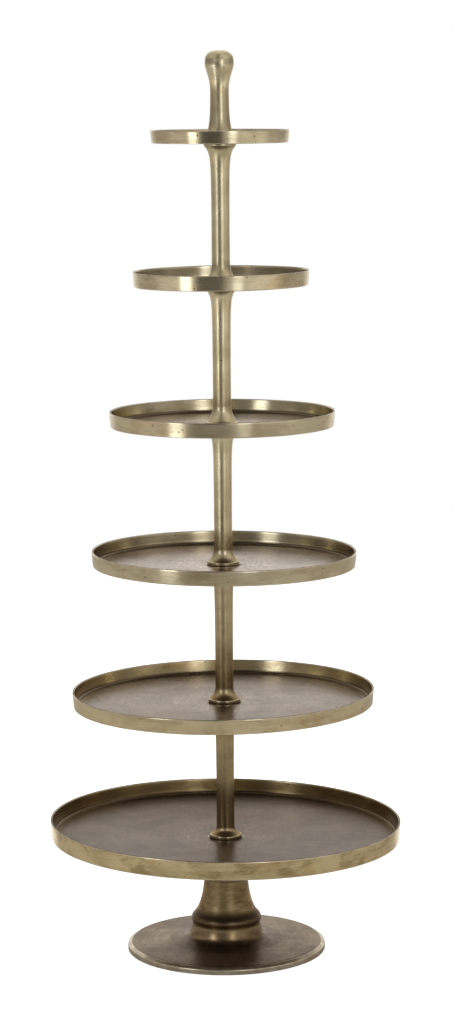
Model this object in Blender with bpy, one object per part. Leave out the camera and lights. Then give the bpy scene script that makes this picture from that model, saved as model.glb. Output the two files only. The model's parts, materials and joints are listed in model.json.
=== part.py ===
# Round etagere: shallow round trays on turned poles, each section screwed into the one below it.
# Metres, +Z up. The origin is on the floor, under the middle of the foot.

import math

import bpy

# Trays, bottom tier first
TRAY_RADII = (0.3025, 0.2593, 0.2262, 0.1918, 0.1492, 0.1170)
RIM_HEIGHT = 0.0255
TOP_RIM_HEIGHT = 0.0217
BOTTOM_RIM_HEIGHT = 0.0276
BOTTOM_RIM_SKIRT = 0.0034
RIM_DRAFT = 0.0020
RIM_FOOT_BEVEL = 0.0012
TRAY_WALL = 0.0035
TRAY_FLOOR = 0.0030
FLOOR_FILLET = 0.0035
SPOT_DEPTH = 0.0002
SPOT_MARGIN = 0.0010
HUB_MARGIN = 0.007
BOTTOM_TRAY_DISH = 0.0079

# Poles, with a flange at each end and a trumpet flare running into it
POLE_LENGTH = 0.2341
POLE_WAIST_RADIUS = 0.0154
POLE_WAIST_HEIGHT = 0.086
POLE_SWELL = 0.0012
FLANGE_RADIUS = 0.0275
FLANGE_EDGE = 0.0040
FLANGE_ROUND = 0.0010
FLARE_LOW = 0.0090
FLARE_HIGH = 0.0108

# Handle on the top tray
HANDLE_HEIGHT = 0.1484
HANDLE_WAIST_RADIUS = 0.0156
HANDLE_FLARE = 0.0172
KNOB_RADIUS = 0.0244
KNOB_DOME = 0.0212
KNOB_NECK = 0.0520
KNOB_SQUARENESS = 2.8

# Bell foot: a column flaring to a lip, then a steep bell that runs out in a cove to a wide plate
FOOT_HEIGHT = 0.1934
FOOT_COLUMN_RADIUS = 0.035
FOOT_FLARE = 0.0318
FOOT_SHOULDER_RADIUS = 0.0603
FOOT_SHOULDER_HEIGHT = 0.0589
FOOT_SHOULDER_ROUND = 0.0020
FOOT_LIP = 0.0082
FOOT_LIP_SPREAD = 0.0040
FOOT_LIP_FLARE = 0.0060
FOOT_BELL_SPREAD = 0.0028
FOOT_BELL_FLARE = 0.0176
FOOT_COVE = 0.0040
FOOT_RIM_RADIUS = 0.1710
FOOT_RIM_BEVEL = 0.0052
FOOT_RIM_DROP = 0.0040
FOOT_RIM_EDGE = 0.0123
FOOT_WALL = 0.0060
FOOT_BOSS = 0.030
FOOT_LAND = 0.022

# Felt pads, sunk in a groove under the rim of the foot
PAD_COUNT = 6
PAD_RADIUS = 0.008
PAD_THICKNESS = 0.0020
PAD_SUNK = 0.0016

# Threaded studs, M10, and the washers that ride on them
STUD_RADIUS = 0.0050
STUD_GRIP = 0.020
STUD_ENGAGE = 0.018
STUD_CHAMFER = 0.0010
SOCKET_SPARE = 0.004
WASHER_INSET = 0.0030
WASHER_THICKNESS = 0.0010

# Clearances
SEAT_GAP = 0.0003
THREAD_GAP = 0.00035
HOLE_GAP = 0.0006

# Facets
TRAY_SEGMENTS = 48
POLE_SEGMENTS = 24
STUD_SEGMENTS = 12
FLARE_STEPS = 5

# Heights that follow from the sizes above
TIERS = len(TRAY_RADII)
SOCKET_RADIUS = STUD_RADIUS + THREAD_GAP
HOLE_RADIUS = STUD_RADIUS + HOLE_GAP
HUB_RADIUS = FOOT_COLUMN_RADIUS + HUB_MARGIN
SPOT_RADIUS = FLANGE_RADIUS + SPOT_MARGIN
PAD_RING = FOOT_RIM_RADIUS - FOOT_LAND / 2.0
FOOT_BASE = PAD_THICKNESS + SEAT_GAP - PAD_SUNK
FIRST_TRAY = FOOT_BASE + FOOT_HEIGHT + SEAT_GAP
WASHER_SEAT = TRAY_FLOOR - SPOT_DEPTH + SEAT_GAP
POLE_SEAT = WASHER_SEAT + WASHER_THICKNESS + SEAT_GAP
TIER_PITCH = POLE_SEAT + POLE_LENGTH + SEAT_GAP
STUD_DROP = POLE_SEAT + SEAT_GAP + STUD_ENGAGE

# Finishes: colour, roughness, metallic
RIM_BRONZE = ((0.33, 0.27, 0.17), 0.34, 1.0)
POLE_BRONZE = ((0.28, 0.22, 0.12), 0.28, 1.0)
FOOT_BRONZE = ((0.12, 0.09, 0.05), 0.38, 1.0)
STEEL = ((0.55, 0.55, 0.56), 0.35, 1.0)
FIBRE = ((0.09, 0.06, 0.04), 0.80, 0.0)
FELT = ((0.05, 0.04, 0.035), 0.95, 0.0)


def clear_scene():
    for old in list(bpy.data.objects):
        bpy.data.objects.remove(old, do_unlink=True)


def finish_material(name, finish):
    colour, roughness, metallic = finish
    material = bpy.data.materials.new(name + "_finish")
    material.use_nodes = True
    shader = material.node_tree.nodes["Principled BSDF"]
    shader.inputs["Base Color"].default_value = (*colour, 1.0)
    shader.inputs["Roughness"].default_value = roughness
    shader.inputs["Metallic"].default_value = metallic
    return material


def axis_empty(name, parent, height):
    # an empty on the axis of the stack; what is screwed on above it hangs from it
    empty = bpy.data.objects.new(name, None)
    bpy.context.collection.objects.link(empty)
    empty.parent = parent
    empty.location = (0.0, 0.0, height)
    return empty


def turned(name, outline, segments, finish, parent, height, closed):
    # one turned piece: the outline is given as (radius, height), down its outer side
    mesh = bpy.data.meshes.new(name)
    edges = [(i, i + 1) for i in range(len(outline) - 1)]
    if closed:
        edges.append((len(outline) - 1, 0))
    mesh.from_pydata([(r, 0.0, z) for r, z in outline], edges, [])
    mesh.materials.append(finish_material(name, finish))
    piece = bpy.data.objects.new(name, mesh)
    bpy.context.collection.objects.link(piece)
    piece.parent = parent
    piece.location = (0.0, 0.0, height)
    lathe = piece.modifiers.new("lathe", "SCREW")
    lathe.axis = "Z"
    lathe.angle = math.tau
    lathe.steps = segments
    lathe.render_steps = segments
    lathe.use_merge_vertices = True
    lathe.merge_threshold = 0.00001
    lathe.use_smooth_shade = True
    return piece


def flare_heights(start, length):
    # heights along an exponential flare, at even steps of its radius
    steps = [start - length * math.log(1.0 - i / FLARE_STEPS) for i in range(FLARE_STEPS)]
    return steps + [start + 2.6 * length]


def flange_outline(base, up):
    # rounded edge of a flange, from its flat face outwards; up is 1 above the face, -1 below it
    return [
        (FLANGE_RADIUS - FLANGE_ROUND, base),
        (FLANGE_RADIUS, base + up * FLANGE_ROUND),
    ]


def bore_outline(base, up, depth):
    # blind hole for a stud, from the face of the piece to the axis
    return [(SOCKET_RADIUS, base), (SOCKET_RADIUS, base + up * depth), (0.0, base + up * depth)]


def pole_radius(height):
    along = (height - POLE_WAIST_HEIGHT) / (POLE_LENGTH - POLE_WAIST_HEIGHT)
    shaft = POLE_WAIST_RADIUS + POLE_SWELL * along ** 2
    low = math.exp(-max(height - FLANGE_EDGE, 0.0) / FLARE_LOW)
    high = math.exp(-max(POLE_LENGTH - FLANGE_EDGE - height, 0.0) / FLARE_HIGH)
    return shaft + (FLANGE_RADIUS - shaft) * (low + high)


def pole_outline():
    low = flare_heights(FLANGE_EDGE, FLARE_LOW)
    high = [POLE_LENGTH - h for h in flare_heights(FLANGE_EDGE, FLARE_HIGH)]
    middle = [(POLE_WAIST_HEIGHT + high[-1]) / 2.0, POLE_WAIST_HEIGHT]
    outer = [(pole_radius(h), h) for h in high + middle + low[::-1]]
    top = bore_outline(POLE_LENGTH, -1, STUD_ENGAGE + SOCKET_SPARE)[::-1]
    bottom = bore_outline(0.0, 1, STUD_GRIP + SEAT_GAP)
    upper_edge = flange_outline(POLE_LENGTH, -1)
    lower_edge = flange_outline(0.0, 1)[::-1]
    return top + upper_edge + outer + lower_edge + bottom


def handle_outline():
    widest = HANDLE_HEIGHT - KNOB_DOME
    knob_start = widest - KNOB_NECK
    outer = [(0.0, HANDLE_HEIGHT)]
    for i in range(1, 6):
        rise = math.cos(i / 5.0 * math.pi / 2.0) ** 0.8
        wide = (1.0 - rise ** KNOB_SQUARENESS) ** (1.0 / KNOB_SQUARENESS)
        outer.append((KNOB_RADIUS * wide, widest + KNOB_DOME * rise))
    for i in range(6, -1, -1):
        share = (i / 7.0) ** 1.55
        swell = share * share * (3.0 - 2.0 * share)
        neck = HANDLE_WAIST_RADIUS + (KNOB_RADIUS - HANDLE_WAIST_RADIUS) * swell
        outer.append((neck, knob_start + KNOB_NECK * i / 7.0))
    for height in flare_heights(FLANGE_EDGE, HANDLE_FLARE)[::-1]:
        flare = math.exp(-(height - FLANGE_EDGE) / HANDLE_FLARE)
        outer.append((HANDLE_WAIST_RADIUS + (FLANGE_RADIUS - HANDLE_WAIST_RADIUS) * flare, height))
    return outer + flange_outline(0.0, 1)[::-1] + bore_outline(0.0, 1, STUD_GRIP + SEAT_GAP)


def tray_outline(radius, rim, dish, skirt):
    # a spot-faced seat round the hole, then a floor that rises by the dish from the hub to the rim,
    # which stands up from the floor's underside and may hang below it as a skirt
    foot = radius - RIM_DRAFT
    floor_edge = foot - TRAY_WALL
    top = rim + dish
    low = dish - skirt
    hanging = [(floor_edge, low), (floor_edge, dish)] if skirt > 0.0 else []
    return [
        (radius - TRAY_WALL / 2.0, top),
        (radius, top - TRAY_WALL / 2.0),
        (foot, RIM_FOOT_BEVEL + low),
        (foot - RIM_FOOT_BEVEL, low),
        *hanging,
        (HUB_RADIUS, 0.0),
        (HOLE_RADIUS, 0.0),
        (HOLE_RADIUS, TRAY_FLOOR - SPOT_DEPTH),
        (SPOT_RADIUS, TRAY_FLOOR - SPOT_DEPTH),
        (SPOT_RADIUS, TRAY_FLOOR),
        (HUB_RADIUS, TRAY_FLOOR),
        (floor_edge - FLOOR_FILLET, TRAY_FLOOR + dish),
        (floor_edge, TRAY_FLOOR + FLOOR_FILLET + dish),
        (radius - TRAY_WALL, top - TRAY_WALL / 2.0),
    ]


def foot_flare(height):
    # long flare up the column, with a short one that turns out to the lip
    above = height - FOOT_SHOULDER_HEIGHT
    spread = FOOT_SHOULDER_RADIUS - FOOT_LIP_SPREAD - FOOT_COLUMN_RADIUS
    lip = FOOT_LIP_SPREAD * math.exp(-above / FOOT_LIP_FLARE)
    return FOOT_COLUMN_RADIUS + spread * math.exp(-above / FOOT_FLARE) + lip


def foot_bell(height):
    # bell that widens slowly below the lip, with a short cove that carries it out to the rim
    top = FOOT_SHOULDER_HEIGHT - FOOT_LIP
    bell = FOOT_BELL_SPREAD * (math.exp((top - height) / FOOT_BELL_FLARE) - 1.0)
    widest = FOOT_BELL_SPREAD * (math.exp((top - FOOT_RIM_EDGE) / FOOT_BELL_FLARE) - 1.0)
    spread = FOOT_RIM_RADIUS - FOOT_RIM_BEVEL - FOOT_SHOULDER_RADIUS - widest
    cove = math.exp(-(height - FOOT_RIM_EDGE) / FOOT_COVE)
    return FOOT_SHOULDER_RADIUS + bell + spread * cove


def foot_outline():
    cavity_top = FOOT_HEIGHT - FOOT_BOSS
    mouth = FOOT_RIM_RADIUS - FOOT_LAND
    top = FOOT_HEIGHT - FLANGE_ROUND
    first = FOOT_SHOULDER_HEIGHT + FOOT_SHOULDER_ROUND
    flare = [first + (top - first) * (i / 8.0) ** 2 for i in range(9)]
    wall_top = FOOT_SHOULDER_HEIGHT - FOOT_LIP
    knee = FOOT_RIM_EDGE + 2.5 * FOOT_COVE
    bell = [FOOT_RIM_EDGE - FOOT_COVE * math.log(1.0 - i / 7.0) for i in range(7)]
    bell += [knee + (wall_top - knee) * i / 3.0 for i in range(4)]

    outer = [(foot_flare(top) - FLANGE_ROUND, FOOT_HEIGHT)]
    outer += [(foot_flare(h), h) for h in flare[::-1]]
    outer.append((FOOT_SHOULDER_RADIUS, FOOT_SHOULDER_HEIGHT - FOOT_SHOULDER_ROUND))
    outer += [(foot_bell(h), h) for h in bell[::-1]]
    outer.append((FOOT_RIM_RADIUS, FOOT_RIM_EDGE - FOOT_RIM_DROP))
    outer.append((FOOT_RIM_RADIUS, FLANGE_ROUND))
    outer.append((FOOT_RIM_RADIUS - FLANGE_ROUND, 0.0))

    half = PAD_RADIUS + SEAT_GAP
    groove = [(PAD_RING + half, 0.0), (PAD_RING + half, PAD_SUNK)]
    groove += [(PAD_RING - half, PAD_SUNK), (PAD_RING - half, 0.0)]
    inner = groove + [(mouth, 0.0)]
    for height in bell:
        radius = foot_bell(height) - FOOT_WALL
        if radius < mouth and height > FOOT_WALL:
            inner.append((radius, height - FOOT_WALL))
    for height in flare:
        if height < cavity_top:
            inner.append((foot_flare(height) - FOOT_WALL, height))
    inner.append((foot_flare(cavity_top) - FOOT_WALL, cavity_top))
    inner.append((0.0, cavity_top))
    socket = bore_outline(FOOT_HEIGHT, -1, STUD_ENGAGE + SOCKET_SPARE)[::-1]
    return socket + outer + inner


def stud_outline():
    length = STUD_GRIP + STUD_DROP
    return [
        (0.0, length),
        (STUD_RADIUS - STUD_CHAMFER, length),
        (STUD_RADIUS, length - STUD_CHAMFER),
        (STUD_RADIUS, STUD_CHAMFER),
        (STUD_RADIUS - STUD_CHAMFER, 0.0),
        (0.0, 0.0),
    ]


def washer_outline():
    outside = FLANGE_RADIUS - WASHER_INSET
    return [
        (outside, WASHER_THICKNESS),
        (outside, 0.0),
        (HOLE_RADIUS, 0.0),
        (HOLE_RADIUS, WASHER_THICKNESS),
    ]


def pad_outline():
    return [(0.0, PAD_THICKNESS), (PAD_RADIUS, PAD_THICKNESS), (PAD_RADIUS, 0.0), (0.0, 0.0)]


def felt_pads(parent):
    # discs spread evenly along the groove
    for number in range(1, PAD_COUNT + 1):
        pad = turned(f"foot_pad_{number}", pad_outline(), STUD_SEGMENTS, FELT, parent, 0.0, False)
        turn = math.tau * (number - 0.5) / PAD_COUNT
        pad.location.x = PAD_RING * math.cos(turn)
        pad.location.y = PAD_RING * math.sin(turn)


def tray(number, parent, height):
    # the bottom tray has a dished floor and a deeper rim, the top tray a lower one
    radius = TRAY_RADII[number - 1]
    if number == 1:
        outline = tray_outline(radius, BOTTOM_RIM_HEIGHT, BOTTOM_TRAY_DISH, BOTTOM_RIM_SKIRT)
    else:
        outline = tray_outline(radius, RIM_HEIGHT if number < TIERS else TOP_RIM_HEIGHT, 0.0, 0.0)
    turned(f"tray_{number}", outline, TRAY_SEGMENTS, RIM_BRONZE, parent, height, True)


def build():
    clear_scene()
    stand = axis_empty("stand", None, 0.0)
    felt_pads(stand)
    turned("base_foot", foot_outline(), TRAY_SEGMENTS, FOOT_BRONZE, stand, FOOT_BASE, False)
    tray(1, stand, FIRST_TRAY)
    section = stand
    rise = FIRST_TRAY
    for number in range(1, TIERS + 1):
        # each section hangs from its own screw axis, at the underside of the tray it clamps
        section = axis_empty(f"screw_axis_{number}", section, rise)
        rise = TIER_PITCH
        turned(f"washer_{number}", washer_outline(), POLE_SEGMENTS, FIBRE, section, WASHER_SEAT, True)
        foot_of_stud = POLE_SEAT - STUD_DROP
        turned(f"stud_{number}", stud_outline(), STUD_SEGMENTS, STEEL, section, foot_of_stud, False)
        if number < TIERS:
            turned(f"pole_{number}", pole_outline(), POLE_SEGMENTS, POLE_BRONZE, section, POLE_SEAT, False)
            tray(number + 1, section, TIER_PITCH)
        else:
            turned("handle", handle_outline(), POLE_SEGMENTS, POLE_BRONZE, section, POLE_SEAT, False)


build()
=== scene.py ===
# Looks of the round etagere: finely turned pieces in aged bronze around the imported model.
# Metres, +Z up. The camera of the photograph stands on the -Y side.

import json
import math

import bpy
import numpy as np
from mathutils import Matrix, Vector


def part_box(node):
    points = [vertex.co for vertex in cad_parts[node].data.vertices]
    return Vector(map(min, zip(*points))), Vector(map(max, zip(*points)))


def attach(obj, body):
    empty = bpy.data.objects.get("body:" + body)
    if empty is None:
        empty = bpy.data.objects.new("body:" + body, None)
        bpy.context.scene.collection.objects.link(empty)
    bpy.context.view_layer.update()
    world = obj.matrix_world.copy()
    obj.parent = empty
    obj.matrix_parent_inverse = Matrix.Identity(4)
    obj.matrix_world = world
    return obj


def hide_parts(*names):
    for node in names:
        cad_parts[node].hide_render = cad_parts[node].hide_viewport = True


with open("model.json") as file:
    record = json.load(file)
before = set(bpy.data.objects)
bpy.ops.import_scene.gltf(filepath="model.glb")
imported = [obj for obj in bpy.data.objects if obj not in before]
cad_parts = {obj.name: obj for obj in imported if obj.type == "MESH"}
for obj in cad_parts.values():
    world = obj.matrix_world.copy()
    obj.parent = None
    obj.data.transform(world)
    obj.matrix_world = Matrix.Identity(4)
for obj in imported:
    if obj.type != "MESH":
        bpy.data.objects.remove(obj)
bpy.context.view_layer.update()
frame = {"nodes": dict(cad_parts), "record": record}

# Camera of the photograph, 454 x 1030 pixels
CAMERA_PLACE = (0.0068, -4.9794, 1.4816)
CAMERA_TILT = math.radians(8.256)
CAMERA_ROLL = math.radians(-0.473)
FOCAL_PIXELS = 2953.4
PHOTO_HEIGHT = 1030
SENSOR_HEIGHT = 36.0

# Studio: grey room, white backdrop behind the stand, dark gap round the camera, white paper floor
# Angles are azimuths from the camera's side, and heights of view are sines of the elevation
ROOM_LEVEL = 0.50
ROOM_COLOUR = (1.06, 1.0, 0.95, 1.0)
WHITE = (1.0, 1.0, 1.0, 1.0)
GAP_LEVEL = 0.075
GAP_LEVEL_HIGH = 0.18
GAP_AZIMUTH = math.radians(-14.0)
GAP_HALF_WIDTH = math.radians(19.0)
GAP_SOFTNESS = math.radians(4.0)
GAP_RISE = (-0.10, 0.02)
# Dimmer sides at the level of view: start, end, share taken away
LEFT_DIM = (math.radians(-32.0), math.radians(-46.0), 0.55)
RIGHT_DIM = (math.radians(30.0), math.radians(46.0), 0.50)
DIM_LOW = (-0.14, 0.07)
DIM_HIGH = (0.52, 0.12)
# Paler walls low down: middle, reach, extra light, heights of view that fade it in, least share
LEFT_WALL = (math.radians(-74.0), math.radians(24.0), 0.30, -0.12, -0.22, 0.0)
RIGHT_WALL = (math.radians(60.0), math.radians(36.0), 0.38, -0.08, -0.25, 0.35)
WALL_CORE = 0.4
BACKDROP_FROM = math.radians(130.0)
BACKDROP_TO = math.radians(160.0)
FLOOR_RADIUS = 4.2
FLOOR_COLOUR = (0.86, 0.86, 0.86, 1.0)
BARE_FLOOR_COLOUR = (0.58, 0.58, 0.58, 1.0)
PAPER_FRONT = -1.85
FLOOR_GLOW = 0.88
FLOOR_SEEN_FROM = 0.50
PAPER_HALF_WIDTH = 0.675
FLOOR_SIDES = 96
SEEN_FADE = 0.15
PAPER_FADE = 0.05
FRONT_FADE = 0.2

# Softboxes: azimuth from the camera's side, distance, width, lower and upper edge, radiance
SOFTBOX_COLOUR = (0.95, 1.0, 1.09)
SOFTBOXES = (
    ("softbox_left_low", math.radians(-44.8), 1.5, 0.36, 0.34, 0.98, 1.8),
    ("softbox_left", math.radians(-44.8), 1.5, 0.36, 0.98, 1.29, 2.2),
    ("softbox_right_low", math.radians(21.5), 2.6, 0.56, 0.10, 0.74, 0.75),
    ("softbox_right", math.radians(21.5), 2.6, 0.56, 0.74, 1.15, 1.2),
    ("softbox_right_high", math.radians(21.5), 2.6, 0.56, 1.15, 2.10, 2.0),
    ("softbox_high", math.radians(-27.0), 2.6, 1.0, 1.80, 2.30, 0.5),
)

# Shapes of the imported model, turned finer here, and the shade painted on them: in the foot's hollows,
# under the trays and on the knob
BOTTOM_TRAY_DISH = 0.0079
BOTTOM_RIM_SKIRT = 0.0034
SKIRT_ROUND = 0.0006
SKIRT_FILLET = 0.0012
RIM_DRAFT = 0.0020
RIM_FOOT_BEVEL = 0.0012
TRAY_WALL = 0.0035
TRAY_FLOOR = 0.0030
FLOOR_FILLET = 0.0035
RIM_TOP_ROUND = TRAY_WALL * 0.42
INNER_LEAN = 0.0009
SPOT_DEPTH = 0.0002
SPOT_RADIUS = 0.0285
HUB_RADIUS = 0.042
POLE_WAIST_RADIUS = 0.0154
POLE_WAIST_HEIGHT = 0.086
POLE_SWELL = 0.0012
FLANGE_EDGE = 0.0040
FLANGE_ROUND = 0.0010
FLANGE_LEDGE = 0.0015
FLANGE_SKIRT = 0.0012
FLANGE_SKIRT_WIDTH = 0.0022
FLANGE_TOP_ROUND = 1.2 * FLANGE_ROUND
FLANGE_HEM_ROUND = 0.0005
FLANGE_HEM_LEAN = 0.0002
FLARE_LOW = {
    "pole_1": 0.0140,
    "pole_2": 0.0200,
    "pole_3": 0.0215,
    "pole_4": 0.0290,
    "pole_5": 0.0310,
}
FLARE_POWER = 2.2
FLARE_HIGH = 0.0108
# painted shade on the top flare of each pole, just under the tray above
COLLAR_SHADE = 0.45
COLLAR_SHADE_REACH = 0.016
HANDLE_WAIST_RADIUS = 0.0156
HANDLE_FLARE = 0.0172
KNOB_RADIUS = 0.0244
KNOB_DOME = 0.0212
KNOB_NECK = 0.0520
KNOB_SQUARENESS = 2.8
KNOB_SWELL = 1.55
# painted shade on the knob: at its widest, on the swell below, and on its top
KNOB_SHADE = 0.35
KNOB_TOP_SHADE = 0.45
FOOT_COLUMN_RADIUS = 0.035
FOOT_FLARE = 0.0318
FOOT_SHOULDER_RADIUS = 0.0603
FOOT_SHOULDER_HEIGHT = 0.0589
FOOT_SHOULDER_ROUND = 0.0045
FOOT_LIP = 0.0082
FOOT_LIP_SPREAD = 0.0040
FOOT_LIP_FLARE = 0.0060
FOOT_BELL_SPREAD = 0.0013
FOOT_BELL_FLARE = 0.0176
FOOT_HOLLOW = 0.0024
FOOT_HOLLOW_HEIGHT = 0.0440
FOOT_HOLLOW_LOW = 0.0160
FOOT_NECK_LOW = 0.0490
FOOT_NECK_HIGH = 0.0660
FOOT_NECK_FADE = 0.0050
FOOT_NECK_FADE_HIGH = 0.0110
# painted shade: darkening of the foot's neck under the shoulder, and of the bell below it
FOOT_NECK_SHADE = 0.85
FOOT_BELL_SHADE = 0.52
FOOT_COVE = 0.0031
FOOT_RIM_BEVEL = 0.0052
FOOT_RIM_DROP = 0.0040
FOOT_RIM_EDGE = 0.0123
FOOT_RIM_ROUND = 0.0030
FOOT_SIDE_ROUND = 0.0022
FOOT_WALL = 0.0060
FOOT_BOSS = 0.030
FOOT_LAND = 0.022
FOOT_MOUTH_HEIGHT = 0.003
FOOT_MOUTH_ROUND = 0.0008
PAD_GROOVE = 0.0083
PAD_SUNK = 0.0016
PAD_ROUND = 0.0005
HOLE_RADIUS = 0.0056
HOLE_ROUND = 0.0004
SOCKET_RADIUS = 0.00535
SOCKET_DEPTH = 0.022
GRIP_DEPTH = 0.0203

# Fine turning that the facets leave out
FLOOR_GROOVE_INSET = 0.0016
FLOOR_GROOVE_WIDTH = 0.0011
FLOOR_GROOVE_DEPTH = 0.00012
COLUMN_GROOVE_HEIGHT = 0.1245
COLUMN_GROOVE_WIDTH = 0.0016
COLUMN_GROOVE_DEPTH = 0.0007
PLATE_GROOVE_INSET = 0.0040
PLATE_GROOVE_WIDTH = 0.0010
PLATE_GROOVE_DEPTH = 0.0004
RIM_UNEVEN = 0.00030
FLOOR_UNEVEN = 0.00035
FLOOR_WAVES = 60.0
FLOOR_WAVES_FROM = 0.04
FLOOR_WAVES_FADE = 0.03
RIM_FADE = 0.02
SEAT_FADE = 0.06
THREAD_PITCH = 0.0015
THREAD_DEPTH = 0.00092
THREAD_CHAMFER = 0.0010
THREAD_SIDES = 28

# How far each casting is off true: shift and slope to the right, slope backwards, lift at the rim
TRAY_SET = {
    "tray_1": (0.0, -0.0136, -0.0045, 0.0),
    "tray_2": (-0.0024, 0.0068, 0.0, -0.0003),
    "tray_3": (0.0012, -0.0072, 0.0, 0.0012),
    "tray_4": (0.0, 0.0, 0.0, 0.0018),
    "tray_5": (0.0, 0.0056, 0.0, 0.0),
    "tray_6": (0.0, 0.0, 0.0, 0.0),
}

# How much dark tarnish each tray keeps on the inside of its rim
INNER_TARNISH = {
    "tray_1": 0.45,
    "tray_2": 0.0,
    "tray_3": 0.45,
    "tray_4": 0.0,
    "tray_5": 0.50,
    "tray_6": 0.3,
}
INNER_SHARES = (0.30, 0.55, 0.80)

# Rings along each outline
FLOOR_STEPS = 20
FLARE_STEP = 0.0011
FLARE_STEPS_LOW = 38
FLARE_STEPS_HIGH = 48
SHAFT_FROM = 0.046
SHAFT_SHORT = 0.060
SHAFT_STEPS = 24
DOME_STEPS = 22
NECK_STEPS = 30
WAIST_STEPS = 40
COLUMN_TOP = 0.006
COLUMN_STEPS = 90
SHOULDER_STEPS = 8
BELL_START = 0.0006
BELL_KNEE = 2.5
BELL_STEPS = 40

# Bronze tones (light, dark, floor light, floor dark) of each kind of piece, low and high on the stand
RIM_LOW = ((0.70, 0.578, 0.318), (0.48, 0.378, 0.190), (0.130, 0.094, 0.067), (0.076, 0.054, 0.039))
RIM_HIGH = ((0.72, 0.645, 0.435), (0.55, 0.475, 0.305), (0.41, 0.355, 0.305), (0.25, 0.210, 0.175))
RIM_SPAN = (0.15, 0.75)
POLE_LOW = ((0.50, 0.400, 0.215), (0.36, 0.280, 0.145), (0.52, 0.380, 0.187), (0.37, 0.26, 0.124))
POLE_HIGH = ((0.79, 0.708, 0.465), (0.64, 0.556, 0.342), (0.66, 0.578, 0.355), (0.52, 0.443, 0.263))
POLE_SPAN = (0.40, 0.95)
FOOT_ALL = ((0.54, 0.402, 0.212), (0.32, 0.226, 0.110), (0.32, 0.252, 0.178), (0.175, 0.131, 0.090))
FOOT_SPAN = (0.0, 0.2)
RUBBED = (0.80, 0.71, 0.52)
# on the foot's rim the rubbed colour is also painted sheen
FOOT_RUB_AND_SHEEN = (0.95, 0.87, 0.68)
DULL_FROM = (0.050, 0.066)

# Tints that marks multiply into the bronze, and colours that cover it; the underside colour and part of the
# grime are painted shade
STAIN_TINT = (0.86, 0.62, 0.40, 1.0)
SMUDGE_TINT = (0.55, 0.50, 0.42, 1.0)
INSIDE_TINT = (0.60, 0.53, 0.42, 1.0)
WARM_TINT = (0.95, 0.72, 0.52, 1.0)
BLOOM_TINT = (1.5, 1.5, 1.55, 1.0)
GRAIN_TINT = (1.55, 1.55, 1.6, 1.0)
UNDERSIDE_SHADE = (0.13, 0.098, 0.066, 1.0)
GRIME_AND_SHADE = (0.12, 0.085, 0.05, 1.0)
EDGE_TINT = (0.92, 0.88, 0.83, 1.0)

# Segments round each kind of piece
TRAY_SEGMENTS = 256
FOOT_SEGMENTS = 192
POLE_SEGMENTS = 96
WASHER_SEGMENTS = 64
PAD_SEGMENTS = 40
CORNER_STEPS = 5


def corner(before, point, after, fillet):
    # one outline corner rounded to a fillet, as (radius, height, tone shift); the tone shift is 1 on an
    # outside edge, lighter as wear, and -1 in an inside corner, darker as grime
    a, p, b = (np.array(q[:2], float) for q in (before, point, after))
    to_a, to_b = (a - p) / np.linalg.norm(a - p), (b - p) / np.linalg.norm(b - p)
    turn = to_a[0] * to_b[1] - to_a[1] * to_b[0]
    half = math.acos(max(-1.0, min(1.0, float(to_a @ to_b)))) / 2.0
    reach = fillet / math.tan(half)
    middle = p + (to_a + to_b) / np.linalg.norm(to_a + to_b) * (fillet / math.sin(half))
    tone_shift = 1.0 if turn > 0.0 else -1.0
    start, end = p + to_a * reach - middle, p + to_b * reach - middle
    first = math.atan2(start[1], start[0])
    sweep = (math.atan2(end[1], end[0]) - first + math.pi) % math.tau - math.pi
    arc = []
    for i in range(CORNER_STEPS + 1):
        angle = first + sweep * i / CORNER_STEPS
        arc.append((middle[0] + fillet * math.cos(angle), middle[1] + fillet * math.sin(angle), tone_shift))
    fade = fillet * 0.8
    lead = p + to_a * (reach + fade)
    trail = p + to_b * (reach + fade)
    return [(lead[0], lead[1], 0.0)] + arc + [(trail[0], trail[1], 0.0)]


def rounded(points, closed):
    # outline points (radius, height, fillet) turned into a smooth outline of (radius, height, tone shift)
    outline = []
    count = len(points)
    for i, (radius, height, fillet) in enumerate(points):
        inside = closed or 0 < i < count - 1
        if fillet > 0.0 and inside:
            outline += corner(points[i - 1], points[i], points[(i + 1) % count], fillet)
        else:
            outline.append((radius, height, 0.0))
    return outline


def groove(radius, height, along, out, width, depth):
    # shallow V cut in an outline that runs in the direction along, with its depth against out
    spots = ((-0.5, 0.0, 0.3), (0.0, 1.0, -1.0), (0.5, 0.0, 0.3))
    return [
        (radius + along[0] * s * width - out[0] * d * depth,
         height + along[1] * s * width - out[1] * d * depth, tone_shift)
        for s, d, tone_shift in spots
    ]


def lathe(name, outline, segments, closed, uneven=None):
    # mesh turned about the Z axis; uneven gives small changes of radius and height round the piece
    turn = np.arange(segments) * math.tau / segments
    points, tone_shift, rings = [], [], []
    for radius, height, tone_value in outline:
        if radius < 1e-7:
            rings.append([len(points)] * segments)
            points.append((0.0, 0.0, height))
            tone_shift.append(tone_value)
            continue
        r, z = np.full(segments, radius), np.full(segments, height)
        if uneven:
            dr, dz = uneven(radius, height, turn)
            r, z = r + dr, z + dz
        rings.append(list(range(len(points), len(points) + segments)))
        points += list(zip(r * np.cos(turn), r * np.sin(turn), z))
        tone_shift += [tone_value] * segments
    pairs = list(zip(rings[:-1], rings[1:]))
    if closed:
        pairs.append((rings[-1], rings[0]))
    faces = []
    for upper, lower in pairs:
        for i in range(segments):
            j = (i + 1) % segments
            corners = (upper[i], lower[i], lower[j], upper[j])
            faces.append(tuple(dict.fromkeys(corners)))
    mesh = bpy.data.meshes.new(name)
    mesh.from_pydata(points, [], faces)
    # tone shift per point: lighter for wear and painted sheen, darker for grime and painted shade
    mesh.attributes.new("tone_shift", "FLOAT", "POINT").data.foreach_set("value", tone_shift)
    mesh.shade_smooth()
    mesh.validate()
    return mesh


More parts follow.
